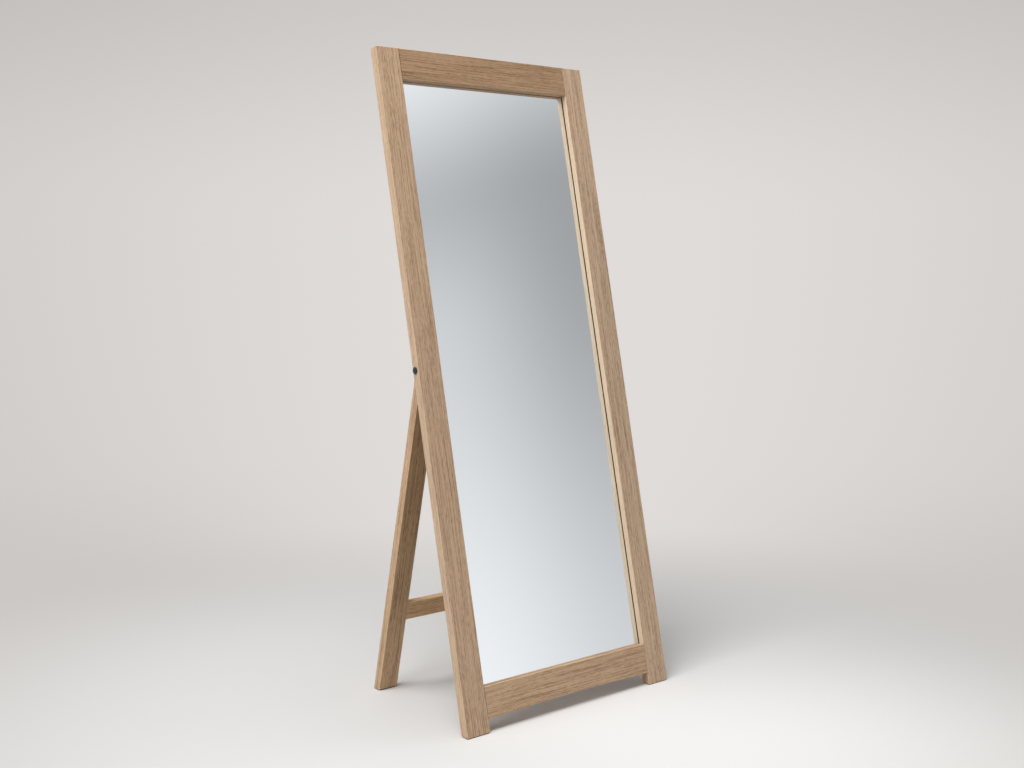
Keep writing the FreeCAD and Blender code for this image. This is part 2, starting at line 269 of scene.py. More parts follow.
# %% A class for finishes
class Finish(Tree):
    """A material with one Principled shader, whose constants are set on its own sockets."""

    def __init__(self, name, **constants):
        self.material = bpy.data.materials.new(name)
        self.material.use_nodes = True
        super().__init__(self.material.node_tree)
        self.shader = self.node_tree.nodes["Principled BSDF"]
        for socket, value in constants.items():
            self.shader.inputs[socket.replace("_", " ")].default_value = value

    def place(self):
        """Object coordinates: metres, the same for a piece wherever it is seen from."""
        return self.add("ShaderNodeTexCoord", output="Object")

    def stretched(self, where, scale):
        """Coordinates multiplied along each axis."""
        return self.add("ShaderNodeVectorMath", {"operation": "MULTIPLY"}, {0: where, 1: scale})

    def parts(self, vector):
        """The x, y and z of a vector."""
        split = self.node("ShaderNodeSeparateXYZ", sockets={0: vector})
        return [Value(self, output) for output in split.outputs]

    def noise(self, where, scale, detail=2.0, roughness=0.5, output="Factor"):
        """Noise whose cells are 1 / scale long on each axis."""
        spot = self.stretched(where, scale)
        sockets = {"Vector": spot, "Scale": 1.0, "Detail": detail, "Roughness": roughness}
        output = 0 if output == "Factor" else 1
        return self.add("ShaderNodeTexNoise", sockets=sockets, output=output)

    def step(self, value, low, high, start=0.0, end=1.0):
        """Smooth step of a value from start to end between low and high."""
        settings = {"interpolation_type": "SMOOTHSTEP"}
        sockets = {"Value": value, "From Min": low, "From Max": high, "To Min": start, "To Max": end}
        return self.add("ShaderNodeMapRange", settings, sockets)

    def blend(self, amount, first, second):
        """Colour that goes from the first to the second."""
        sockets = {"Factor": amount, 6: first, 7: second}
        return self.add("ShaderNodeMix", {"data_type": "RGBA"}, sockets, output=2)

    def tinted(self, colour, brightness):
        """A colour multiplied by a brightness that varies."""
        grey = self.add("ShaderNodeCombineColor", sockets={0: brightness, 1: brightness, 2: brightness})
        settings = {"data_type": "RGBA", "blend_type": "MULTIPLY"}
        return self.add("ShaderNodeMix", settings, {"Factor": 1.0, 6: colour, 7: grey}, output=2)

    def feed(self, socket, value):
        """Let a value that varies over the surface reach one of the shader's sockets."""
        self.fill(self.shader.inputs[socket], value)

    def bump(self, height, distance):
        """Small relief from a height field, its depth in metres."""
        sockets = {"Height": height, "Distance": distance}
        self.feed("Normal", self.add("ShaderNodeBump", sockets=sockets))


# %% [markdown]
# Colours are given in linear light, as the shader reads them. A CAD node takes its finish through the
# material slots of its object, so that its mesh isn't touched.

# %% Colours, and dressing a node
def rgba(red, green, blue):
    """A colour as a socket wants it, in linear light."""
    return (red, green, blue, 1.0)


def shade(colour, tint):
    """A colour multiplied by a tint, as a socket wants it."""
    return rgba(*(part * share for part, share in zip(colour, tint)))


def dress(finish, *names):
    """Give CAD nodes a finish through their objects' material slots."""
    for name in names:
        for slot in nodes[name].material_slots:
            slot.material = finish.material
    print(finish.material.name, "on", ", ".join(names))


# %% [markdown]
# ## Oak
# Oak is a ring-porous wood. Each year starts with a band of wide open pores, which looks darker and
# coarser, and ends with dense, smoother wood. A board cuts through many such years, so one solid
# pattern explains every face of it: streaks on the sides, arches where the cut grazes the rings, and
# small arcs on the end grain. An image would need a different picture for each face. Rings worked out
# from Object coordinates need none, and they line up round every edge by themselves.

# %% Coordinates that follow one board
def board_matrix(node, turn, grain_across):
    """Place of a board: its z axis runs along the grain and its y axis goes through it."""
    low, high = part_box(node)
    if grain_across:
        turn = turn @ Matrix.Rotation(math.radians(90), 4, "Y")
    return Matrix.Translation((low + high) / 2) @ turn


def half_sizes(node, place):
    """Half the width, thickness and length of a board, measured from its mesh."""
    to_board = place.inverted()
    corners = [to_board @ vertex.co for vertex in nodes[node].data.vertices]
    return Vector([max(abs(corner[axis]) for corner in corners) for axis in range(3)])


def board_coordinates(finish, place, seed):
    """Metres from the middle of a board, z along its grain, and the same shifted to other wood."""
    settings = {"vector_type": "TEXTURE"}
    sockets = {"Vector": finish.place(), "Location": place.to_translation(), "Rotation": place.to_euler()}
    middle = finish.add("ShaderNodeMapping", settings, sockets)
    shifted = {0: middle, 1: (1.7 * seed, 2.3 * seed, 3.1 * seed)}
    own_wood = finish.add("ShaderNodeVectorMath", {"operation": "ADD"}, shifted)
    return middle, own_wood


# %% [markdown]
# The rings are cylinders round the heart of the tree. Where the heart lies beside the board, not
# behind it, the face shows straight grain. A slight slope between board and trunk makes the rings
# run out through the face as arches, and two slow noises keep any line from being quite straight.

# %% Growth rings
ring_width = 2.6 * millimetre
wander = 9.0 * millimetre        # how far the rings stray from true circles


def growth_rings(finish, spot, own_wood, heart, slope):
    """Phase of the growth rings: its whole part numbers the years."""
    drift = finish.noise(own_wood, (7.0, 7.0, 1.3), detail=3.0, output="Color")
    drift_x, drift_y, _ = finish.parts(drift)
    x, y, z = spot
    side = x - heart[0] + (drift_x - 0.5) * wander
    depth = y - heart[1] + (drift_y - 0.5) * wander
    radius = finish.math("SQRT", side * side + depth * depth) + z * slope
    uneven_years = finish.noise(own_wood, (24.0, 24.0, 0.6), detail=1.0)
    return radius / ring_width + uneven_years * 1.5


# %% [markdown]
# A planed board isn't one tone all over. Its eased edges get a painted highlight: they are made paler
# where their rounding would catch the light. A narrow side gets a painted sheen that makes it paler than
# the face, but not down at the foot, which lies in shade. Where two boards meet, the joint shows as a
# thin dark line. Each of these is a mask made from the distance to the board's own outline.

# %% Painted edge highlights, painted side sheen and joints
# Painted highlight: the eased edges are painted paler, standing in for the light that their rounding
# catches.
eased = 2.0 * millimetre         # how far the pale edge reaches
edge_highlight_gain = 0.32                 # how much paler the eased edges are
side_skin = 0.6 * millimetre     # depth that tells a side from the face beside it
joint_line = 0.9 * millimetre    # width of the dark line at a joint
joint_shade = 0.55               # how much darker the joint is
foot_height = 40.0 * millimetre  # the lowest part of a stile, whose inner side lies in shade


def near_end(finish, distance, half, reach):
    """1 at the outline of a board, falling to 0 a little inside it."""
    return finish.step(distance, half - reach, half - 0.2 * reach)


def highlight_and_joint_tones(finish, spot, half, jointed):
    """Painted highlight on the eased edges and dark joint lines, as a brightness that follows the outline
    of a board.
    """
    across, through, along = (finish.math("ABSOLUTE", part) for part in spot)
    edge = near_end(finish, across, half.x, eased)
    if not jointed:
        edge = finish.math("MAXIMUM", edge, near_end(finish, along, half.z, eased))
    # Painted highlight: paler where the eased edges would catch the light.
    tone = 1 + edge_highlight_gain * edge * near_end(finish, through, half.y, eased)
    if jointed:
        tone = tone * (1 - joint_shade * near_end(finish, along, half.z, joint_line))
    return tone


def painted_side_sheen(finish, spot, half, shares):
    """Share of painted sheen, a paler colour, on the low and the high side of a board, kept off the shaded
    foot.
    """
    low_side = near_end(finish, 0 - spot[0], half.x, side_skin)
    high_side = near_end(finish, spot[0], half.x, side_skin)
    above_foot = finish.step(spot[2], 0.7 * foot_height - half.z, foot_height - half.z)
    return (shares[0] * low_side + shares[1] * high_side) * above_foot


# %% [markdown]
# Six things are laid over one another: the tone of each year, the porous band at its start, soft
# bands a forearm long, streaks of long vessels, short flecks where a vessel runs out of the face, and
# slow patches. Each has a share in how dark the wood is. The open pores are short dark grooves along
# the grain. The vessels, flecks and pores also feed a shallow bump, so that the sheen breaks up where
# the colour does.

# %% One oak finish
oak_light = Vector((0.601, 0.425, 0.279))
oak_dark = Vector((0.290, 0.172, 0.099))
oak_pore = Vector((0.170, 0.098, 0.052))
# Painted sheen: the paler colour that a lit narrow side is blended towards.
oak_painted_sheen = rgba(0.860, 0.690, 0.500)
band_cells = (170.0, 170.0, 3.0)         # per metre, across, through and along the grain
vessel_cells = (640.0, 640.0, 7.0)
fleck_cells = (800.0, 800.0, 75.0)
pore_cells = (2300.0, 2300.0, 110.0)
streak_wander = 4.0 * millimetre
noise_mean = 0.5
mean_porous = 0.35
mean_darkness = 0.28
band_share = 0.5
vessel_share = 2.7
fleck_share = 1.8
patch_share = 0.2


def oak(name, node, turn, grain_across, heart, slope, seed, figure, tint, sides):
    """Matt oiled oak cut from its own place in a tree; tint multiplies its colours, and sides gives the
    painted sheen on its low and high side.
    """
    finish = Finish(name, IOR=1.45)
    place = board_matrix(node, turn, grain_across)
    middle, own_wood = board_coordinates(finish, place, seed)
    spot = finish.parts(middle)
    phase = growth_rings(finish, spot, own_wood, heart, slope)
    part_of_year = finish.math("FRACT", phase)
    year_tone = finish.add("ShaderNodeTexWhiteNoise", {"noise_dimensions": "1D"},
                           {"W": finish.math("FLOOR", phase)})
    porous = finish.step(part_of_year, 0.0, 0.55, 1.0, 0.0)
    stray = finish.noise(own_wood, (12.0, 12.0, 6.0), detail=2.0, output="Color")
    stray = finish.stretched(stray, (streak_wander, streak_wander, 0.0))
    strayed = finish.add("ShaderNodeVectorMath", {"operation": "ADD"}, {0: own_wood, 1: stray})
    bands = finish.noise(strayed, band_cells, detail=1.0)
    vessels = finish.noise(strayed, vessel_cells, detail=1.0)
    flecks = finish.noise(strayed, fleck_cells, detail=1.0, roughness=0.6)
    patches = finish.noise(own_wood, (12.0, 12.0, 2.5), detail=2.0)
    pores = finish.step(finish.noise(strayed, pore_cells, detail=1.0), 0.60, 0.72)
    darkness = (mean_darkness + figure * (porous - mean_porous) + 0.5 * figure * (year_tone - noise_mean)
                + band_share * (bands - noise_mean) + vessel_share * (vessels - noise_mean)
                + fleck_share * (flecks - noise_mean) + patch_share * (patches - noise_mean))
    wood = finish.blend(darkness, shade(oak_light, tint), shade(oak_dark, tint))
    open_pores = pores * (0.15 + 0.45 * porous)
    colour = finish.blend(open_pores, wood, shade(oak_pore, tint))
    half = half_sizes(node, place)
    # Painted sheen: the narrow sides are blended towards a paler colour, as if lit.
    colour = finish.blend(painted_side_sheen(finish, spot, half, sides), colour, oak_painted_sheen)
    # Painted highlight on the eased edges, with the dark joint lines.
    tone = highlight_and_joint_tones(finish, spot, half, jointed=grain_across)
    finish.feed("Base Color", finish.tinted(colour, tone))
    finish.feed("Roughness", 0.50 + 0.10 * flecks + 0.12 * open_pores)
    finish.bump(vessels * 0.5 + flecks * 0.35 - open_pores, 0.12 * millimetre)
    return finish


# %% [markdown]
# Every board gets wood of its own: its grain runs along its length, its heart lies somewhere else,
# and its seed shifts the noises. The stiles are cut straight-grained, with little slope and faint rings.
# The legs and the rails slope more against the trunk and show their rings more.

# %% Dress the seven boards
# turn, grain across, heart of the tree, slope, seed, strength of the rings, tint, painted sheen on the low
# and high side
boards = {
    "stile_left": (frame_turn, False, (0.21, 0.10), 0.004, 1.0, 0.08, (1.11, 1.09, 1.07), (0.14, 0.0)),
    "stile_right": (frame_turn, False, (-0.19, 0.12), 0.006, 2.0, 0.08, (1.16, 1.17, 1.19), (0.60, 0.0)),
    "top_rail": (frame_turn, True, (0.10, 0.17), 0.010, 3.0, 0.14, (0.83, 0.75, 0.65), (0.0, 0.0)),
    "bottom_rail": (frame_turn, True, (-0.09, 0.15), -0.012, 4.0, 0.14, (1.08, 1.03, 0.96), (0.0, 0.0)),
    "leg_left": (stand_turn, False, (-0.008, 0.12), 0.012, 5.0, 0.16, (1.10, 1.05, 0.94), (0.0, 0.0)),
    "leg_right": (stand_turn, False, (-0.03, 0.13), -0.016, 6.0, 0.16, (1.10, 1.05, 0.94), (0.0, 0.0)),
    "stretcher": (stand_turn, True, (0.08, 0.14), 0.008, 7.0, 0.14, (1.34, 1.24, 1.05), (0.0, 0.0)),
}
for board, (turn, grain_across, *cut) in boards.items():
    dress(oak(f"oak_{board}", board, turn, grain_across, *cut), board)

# %% [markdown]
# ## The silvered pane
# A mirror is a sheet of glass with silver behind it. Modelled as glass over metal it would be noisy
# to render and would lose its shine in an export. A metallic surface with no roughness gives the same
# picture: it reflects what is in front of it, slightly cooled by the glass. A trace of roughness that
# comes and goes stands for the film that any wiped mirror keeps.

# %% Mirror
mirror = Finish("silvered_glass", Base_Color=rgba(0.893, 0.93, 0.96), Metallic=1.0)
film = mirror.noise(mirror.place(), (5.0, 5.0, 3.0), detail=3.0)
mirror.feed("Roughness", mirror.step(film, 0.45, 0.80, 0.0, 0.012))
dress(mirror, "mirror_glass")

# %% [markdown]
# ## Behind the pane
# The pane is bedded on black foam, which shows as the dark line inside the frame, and is closed by a
# hardboard back. Hardboard is pressed from wood pulp: its colour is a mottle of short fibres lying in
# every direction, so noises of three sizes are added up, and the finest also gives the relief.

# %% Foam and hardboard
foam = Finish("black_foam", Roughness=0.95, Specular_IOR_Level=0.1)
cells = foam.noise(foam.place(), (2500.0, 2500.0, 2500.0), detail=1.0)
foam.feed("Base Color", foam.blend(cells, rgba(0.004, 0.003, 0.002), rgba(0.018, 0.013, 0.009)))
foam.bump(cells, 0.15 * millimetre)
dress(foam, "glazing_strips")

hardboard = Finish("hardboard", Roughness=0.7)
clouds = hardboard.noise(hardboard.place(), (6.0, 6.0, 6.0), detail=2.0)
mottle = hardboard.noise(hardboard.place(), (90.0, 90.0, 90.0), detail=3.0, roughness=0.7)
pulp = hardboard.noise(hardboard.place(), (1100.0, 1100.0, 1100.0), detail=2.0, roughness=0.7)
pulp_tone = 0.4 * clouds + 0.5 * mottle + 0.5 * pulp - 0.2
board_dark = rgba(0.130, 0.078, 0.045)
board_light = rgba(0.270, 0.175, 0.105)
hardboard.feed("Base Color", hardboard.blend(pulp_tone, board_dark, board_light))
hardboard.feed("Roughness", 0.62 + 0.2 * pulp)
hardboard.bump(pulp, 0.10 * millimetre)
dress(hardboard, "back_board")

# %% [markdown]
# ## Metal, nylon and beech
# The rest is hardware. Zinc plate is a grey metal with cloudy patches of roughness, black steel is a
# thin satin paint over a faintly uneven surface, nylon is milky, and beech has short dark flecks along
# its grain. Felt is nearly black and takes no shine. None of them has one flat colour from near by.

# %% Hardware finishes
zinc = Finish("zinc_plated_steel", Metallic=1.0)
plating = zinc.noise(zinc.place(), (260.0, 260.0, 260.0), detail=3.0)
zinc.feed("Base Color", zinc.blend(plating, rgba(0.33, 0.34, 0.36), rgba(0.52, 0.52, 0.51)))
zinc.feed("Roughness", 0.30 + 0.25 * plating)
dress(zinc, "board_points", "barrel_nut_left", "barrel_nut_right")

black_steel = Finish("black_steel")
paint = black_steel.noise(black_steel.place(), (1400.0, 1400.0, 1400.0), detail=2.0)
wear = black_steel.noise(black_steel.place(), (120.0, 120.0, 120.0), detail=3.0)
steel_dark = rgba(0.010, 0.010, 0.010)
steel_worn = rgba(0.024, 0.023, 0.022)
black_steel.feed("Base Color", black_steel.blend(wear, steel_dark, steel_worn))
black_steel.feed("Roughness", 0.34 + 0.16 * wear)
black_steel.bump(paint, 0.02 * millimetre)
dress(black_steel, "pivot_bracket_left", "pivot_bracket_right")

nylon = Finish("nylon", Roughness=0.42, Subsurface_Weight=0.15, Subsurface_Scale=0.001)
milk = nylon.noise(nylon.place(), (300.0, 300.0, 300.0), detail=2.0)
nylon.feed("Base Color", nylon.blend(milk, rgba(0.62, 0.60, 0.54), rgba(0.74, 0.72, 0.66)))
dress(nylon, "pivot_bush_left", "pivot_bush_right")

beech = Finish("beech", Roughness=0.6)
flecks = beech.noise(beech.place(), (300.0, 1200.0, 1200.0), detail=2.0, roughness=0.6)
beech.feed("Base Color", beech.blend(flecks, rgba(0.60, 0.42, 0.27), rgba(0.40, 0.26, 0.15)))
dress(beech, "frame_tenons", "stretcher_tenons")

felt = Finish("felt", Roughness=0.95, Specular_IOR_Level=0.1)
nap = felt.noise(felt.place(), (1800.0, 1800.0, 1800.0), detail=2.0)
felt.feed("Base Color", felt.blend(nap, rgba(0.003, 0.002, 0.002), rgba(0.014, 0.011, 0.009)))

# %% [markdown]
# ## Geometry Nodes from a script
# A node tree is a recipe that stays readable: this goes into that. Building it in a script keeps its
# sizes named and its result the same on every run. The tree is used as a modifier, its inputs are set,
# and the finished shape is copied into a plain mesh, so that the piece no longer depends on the tree.

# %% Helpers for geometry trees
def geometry_tree(name, inputs):
    """A geometry tree with named inputs, and the values of those inputs."""
    node_tree = bpy.data.node_groups.new(name, "GeometryNodeTree")
    node_tree.interface.new_socket("Geometry", in_out="INPUT", socket_type="NodeSocketGeometry")
    for label, kind in inputs:
        node_tree.interface.new_socket(label, in_out="INPUT", socket_type=f"NodeSocket{kind}")
    node_tree.interface.new_socket("Geometry", in_out="OUTPUT", socket_type="NodeSocketGeometry")
    tree = Tree(node_tree)
    entry = tree.node("NodeGroupInput")
    return tree, {socket.name: Value(tree, socket) for socket in entry.outputs if socket.name}


def grow(piece, tree, values):
    """Run a tree on a piece, with the values of its inputs, and keep the result as a plain mesh."""
    modifier = piece.modifiers.new("grow", "NODES")
    modifier.node_group = tree.node_tree
    for socket in tree.node_tree.interface.items_tree:
        if socket.in_out == "INPUT" and socket.name in values:
            modifier[socket.identifier] = values[socket.name]
    evaluated = piece.evaluated_get(bpy.context.evaluated_depsgraph_get())
    mesh = bpy.data.meshes.new_from_object(evaluated)
    piece.modifiers.clear()
    piece.data = mesh
    print(piece.name, "has", len(mesh.polygons), "faces")


def scatter_mesh(name, spots, axes):
    """Loose points, each with the direction that its copy will point in."""
    mesh = bpy.data.meshes.new(name)
    mesh.from_pydata(spots, [], [])
    directions = mesh.attributes.new("axis", "FLOAT_VECTOR", "POINT")
    directions.data.foreach_set("vector", [part for axis in axes for part in axis])
    return link(name, mesh)


# %% [markdown]
# ## Threads
# A thread is a ridge that climbs a round core by one pitch each turn. The Spiral node draws that path
# and Curve to Mesh runs a small diamond along it, so that one half of the diamond is buried in the core
# and the other half is the ridge. The same tree then sets copies of the turned body, thread and all, on
# points, each along its own axis.

# %% A tree for threaded fasteners
fastener_inputs = [("Body", "Object"), ("Thread Radius", "Float"), ("Thread Depth", "Float"),
                   ("Thread Turns", "Float"), ("Thread Length", "Float"), ("Thread Start", "Float"),
                   ("Finish", "Material")]
steps_per_turn = 20


def fastener_tree():
    """Copies of a turned body on points, with a thread wound round each."""
    tree, given = geometry_tree("threaded_fasteners", fastener_inputs)
    path = tree.add("GeometryNodeCurveSpiral", sockets={
        "Resolution": steps_per_turn, "Rotations": given["Thread Turns"], "Height": given["Thread Length"],
        "Start Radius": given["Thread Radius"], "End Radius": given["Thread Radius"]})
    upright = tree.add("GeometryNodeSetCurveNormal", {"mode": "Z_UP"}, {"Curve": path})
    diamond = tree.add("GeometryNodeCurvePrimitiveCircle", {"mode": "RADIUS"},
                       {"Resolution": 4, "Radius": given["Thread Depth"]})
    ridge = tree.add("GeometryNodeCurveToMesh", sockets={
        "Curve": upright, "Profile Curve": diamond, "Fill Caps": True})
    start = tree.add("ShaderNodeCombineXYZ", sockets={"Z": given["Thread Start"]})
    placed_ridge = tree.add("GeometryNodeTransform", sockets={"Geometry": ridge, "Translation": start})
    body = tree.add("GeometryNodeObjectInfo", {"transform_space": "ORIGINAL"},
                    {"Object": given["Body"]}, output="Geometry")
    whole = tree.node("GeometryNodeJoinGeometry")
    tree.fill(whole.inputs[0], placed_ridge)
    tree.fill(whole.inputs[0], body)
    axis = tree.add("GeometryNodeInputNamedAttribute", {"data_type": "FLOAT_VECTOR"}, {"Name": "axis"})
    turn = tree.add("FunctionNodeAlignRotationToVector", {"axis": "Z"}, {"Vector": axis})
    copies = tree.add("GeometryNodeInstanceOnPoints", sockets={
        "Points": given["Geometry"], "Instance": Value(tree, whole.outputs[0]), "Rotation": turn})
    solid = tree.add("GeometryNodeRealizeInstances", sockets={"Geometry": copies})
    dressed = tree.add("GeometryNodeSetMaterial", sockets={"Geometry": solid, "Material": given["Finish"]})
    tree.node("NodeGroupOutput", sockets={"Geometry": dressed})
    return tree


fasteners = fastener_tree()


def set_fasteners(name, body, spots, axes, thread, finish):
    """One piece that holds a fastener on every spot; the thread is (radius, depth, pitch, start, end)."""
    radius, depth, pitch, start, end = thread
    piece = scatter_mesh(name, spots, axes)
    values = {"Body": body, "Thread Radius": radius, "Thread Depth": depth, "Finish": finish.material,
              "Thread Turns": (end - start) / pitch, "Thread Length": end - start, "Thread Start": start}
    grow(piece, fasteners, values)
    return piece


# %% [markdown]
# ## Pivot bolts
# The black cap on the outer face of each stile is the head of the bolt that the stand turns on. It is
# low and domed, with a rounded rim and a hexagon socket. Below it comes the smooth shoulder that
# carries the bush, and then the thread. The outline starts at the tip and runs up to the socket.

# %% Turn the pivot bolts
bolt_head_height = 3.6 * millimetre
bolt_rim_height = 1.3 * millimetre
bolt_rim_bevel = 0.4 * millimetre
bolt_shoulder_radius = 3.0 * millimetre
bolt_shoulder_length = 30.3 * millimetre
bolt_thread_radius = 2.5 * millimetre
bolt_thread_depth = 0.35 * millimetre
bolt_pitch = 0.8 * millimetre
socket_flat = 2.0 * millimetre   # from the axis to a flat
socket_depth = 2.2 * millimetre
bolt_steps = 48                  # round the bolt


def pivot_bolt_body(name, head_radius, length):
    """Bolt along z: its head's underside at 0 and its tip at minus its length."""
    core = bolt_thread_radius - bolt_thread_depth
    rise = bolt_head_height - bolt_rim_height
    dome = (head_radius ** 2 + rise ** 2) / (2 * rise)
    dome_centre = (0, bolt_head_height - dome)
    rim_turn = math.degrees(math.acos(head_radius / dome))
    mouth = 1.35 * socket_flat
    mouth_turn = math.degrees(math.acos(mouth / dome))
    mouth_height = dome_centre[1] + math.sqrt(dome ** 2 - mouth ** 2)
    outline = [(0, -length), (core - bolt_rim_bevel, -length), (core, bolt_rim_bevel - length),
               (core, -bolt_shoulder_length), (bolt_shoulder_radius, -bolt_shoulder_length),
               (bolt_shoulder_radius, 0), (head_radius - bolt_rim_bevel, 0), (head_radius, bolt_rim_bevel)]
    outline += arc(dome_centre, dome, rim_turn, mouth_turn, 8)
    outline += [(1.08 * socket_flat, mouth_height, hexagon),
                (socket_flat, mouth_height - bolt_rim_bevel / 2, hexagon),
                (socket_flat, mouth_height - socket_depth, hexagon),
                (0, mouth_height - 1.4 * socket_depth)]
    return lathe(name, outline, bolt_steps)


for side, outward in (("left", -1), ("right", 1)):
    low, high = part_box(f"pivot_bolt_{side}")
    seat = abs(low.x if outward < 0 else high.x) - bolt_head_height
    length = seat - abs(high.x if outward < 0 else low.x)
    head_radius = (high.z - low.z) / 2
    body = pivot_bolt_body("bolt_pattern", head_radius, length)
    spot = (outward * seat, (low.y + high.y) / 2, (low.z + high.z) / 2)
    thread = (bolt_thread_radius - bolt_thread_depth, bolt_thread_depth, bolt_pitch,
              2 * bolt_pitch - length, -bolt_shoulder_length - bolt_pitch)
    bolt = set_fasteners(f"bolt_{side}", body, [spot], [(outward, 0, 0)], thread, black_steel)
    bpy.data.objects.remove(body)
    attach(bolt, "frame")
    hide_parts(f"pivot_bolt_{side}")

# %% [markdown]
# ## Bracket screws
# Four countersunk wood screws hold the pivot brackets to the legs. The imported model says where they
# are: its node is one mesh of four separate screws. Vertices that edges join belong to one screw, so
# they are sorted into groups that way, and the middle of each group lies on that screw's axis.

# %% Turn the bracket screws
screw_head_radius = 4.0 * millimetre
screw_head_height = 2.4 * millimetre
screw_shank_radius = 2.0 * millimetre
screw_length = 17.0 * millimetre
screw_tip_length = 4.0 * millimetre
screw_thread_depth = 0.5 * millimetre
screw_pitch = 1.6 * millimetre
screw_head_edge = 0.3 * millimetre       # height of the head's rim
screw_steps = 64                 # round the screw
cross_reach = 2.1 * millimetre
cross_depth = 1.5 * millimetre


def islands(node):
    """Vertices of each separate solid of a node, as lists of places."""
    shape = bmesh.new()
    shape.from_mesh(nodes[node].data)
    bmesh.ops.remove_doubles(shape, verts=shape.verts, dist=0.01 * millimetre)
    waiting = dict.fromkeys(shape.verts)
    groups = []
    while waiting:
        reached = [waiting.popitem()[0]]
        for vertex in reached:
            for edge in vertex.link_edges:
                other = edge.other_vert(vertex)
                if other in waiting:
                    del waiting[other]
                    reached.append(other)
        groups.append([vertex.co.copy() for vertex in reached])
    shape.free()
    return groups


def wood_screw_body(name):
    """Screw along z: the top of its head at 0 and its tip at minus its length."""
    core = screw_shank_radius - screw_thread_depth
    outline = [(0, -screw_length), (core, screw_tip_length - screw_length), (core, -screw_head_height),
               (screw_shank_radius, -screw_head_height), (screw_head_radius, -screw_head_edge),
               (screw_head_radius, 0), (1.15 * cross_reach, 0), (cross_reach, 0, cross),
               (0.5 * cross_reach, -cross_depth, cross), (0, -1.2 * cross_depth)]
    return lathe(name, outline, screw_steps)


# %% [markdown]
# The screws point through the thickness of the leg, so that direction is measured on the stand. Each
# head's face lies a hair behind the face of the solid screw, inside its own place.

# %% Set the bracket screws
head_sink = 0.02 * millimetre

stand_backward = thickness_direction("stretcher_tenons")
spots = []
for places in islands("bracket_screws"):
    front = min(places, key=lambda place: place.dot(stand_backward)).dot(stand_backward)
    ends = [place - stand_backward * place.dot(stand_backward) for place in places]
    on_axis = (Vector(map(min, zip(*ends))) + Vector(map(max, zip(*ends)))) / 2
    spots.append(on_axis + stand_backward * (front + head_sink))
body = wood_screw_body("screw_pattern")
thread = (screw_shank_radius - screw_thread_depth, screw_thread_depth, screw_pitch,
          screw_tip_length - screw_length, -screw_head_height - screw_pitch)
screws = set_fasteners("bracket_screws_threaded", body, spots, [-stand_backward] * len(spots), thread, zinc)
bpy.data.objects.remove(body)
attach(screws, "stand")
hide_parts("bracket_screws")

# %% [markdown]
# ## Felt under the feet
# A thin felt pad is glued under each foot. What makes felt look like felt is its edge, where short
# fibres stand out. Distribute Points on Faces sows them on the pad, and each becomes a thin bent hair.
# The floor and the foot press them flat, so in the end every vertex is held inside the pad's box.

# %% A tree for felt
fuzz_length = 0.9 * millimetre
fuzz_radius = 0.03 * millimetre
fuzz_inset = 0.20 * millimetre    # from the pad's outline to the solid felt
fuzz_per_square_metre = 2.2e6
fuzz_seed = 11
fuzz_knee = 0.6                  # share of a hair's length that stands straight
fuzz_bend = 0.35                 # how far its tip leans, as a share of its length
pad_corner = 2.0 * millimetre
felt_inputs = [("Density", "Float"), ("Hair Length", "Float"), ("Hair Radius", "Float"),
               ("Seed", "Int"), ("Finish", "Material")]


def felt_tree():
    """Short bent hairs on every face of a pad."""
    tree, given = geometry_tree("felt_edge", felt_inputs)
    hair_length = given["Hair Length"]
    sown = tree.node("GeometryNodeDistributePointsOnFaces", {"distribute_method": "RANDOM"}, {
        "Mesh": given["Geometry"], "Density": given["Density"], "Seed": given["Seed"]})
    lean = tree.add("FunctionNodeRandomValue", {"data_type": "FLOAT_VECTOR"}, {
        0: (-1.1, -1.1, -3.1), 1: (1.1, 1.1, 3.1), "Seed": given["Seed"]})
    turn = tree.add("FunctionNodeRotateRotation", {"rotation_space": "LOCAL"}, {
        "Rotation": Value(tree, sown.outputs["Rotation"]), "Rotate By": lean})
    tip = tree.add("ShaderNodeCombineXYZ", sockets={"X": hair_length * fuzz_bend, "Z": hair_length})
    middle = tree.add("ShaderNodeCombineXYZ", sockets={"Z": hair_length * fuzz_knee})
    path = tree.add("GeometryNodeCurveQuadraticBezier", sockets={
        "Resolution": 3, "Start": (0, 0, 0), "Middle": middle, "End": tip})
    section = tree.add("GeometryNodeCurvePrimitiveCircle", {"mode": "RADIUS"},
                       {"Resolution": 3, "Radius": given["Hair Radius"]})
    hair = tree.add("GeometryNodeCurveToMesh", sockets={
        "Curve": path, "Profile Curve": section, "Fill Caps": True})
    hairs = tree.add("GeometryNodeInstanceOnPoints", sockets={
        "Points": Value(tree, sown.outputs["Points"]), "Instance": hair, "Rotation": turn})
    solid = tree.add("GeometryNodeRealizeInstances", sockets={"Geometry": hairs})
    whole = tree.node("GeometryNodeJoinGeometry")
    tree.fill(whole.inputs[0], solid)
    tree.fill(whole.inputs[0], given["Geometry"])
    dressed = tree.add("GeometryNodeSetMaterial", sockets={
        "Geometry": Value(tree, whole.outputs[0]), "Material": given["Finish"]})
    tree.node("NodeGroupOutput", sockets={"Geometry": dressed})
    return tree


fuzz = felt_tree()


# %% [markdown]
# The pad itself is a slab with rounded upright edges, a little smaller than the node, which leaves room
# for the hairs.

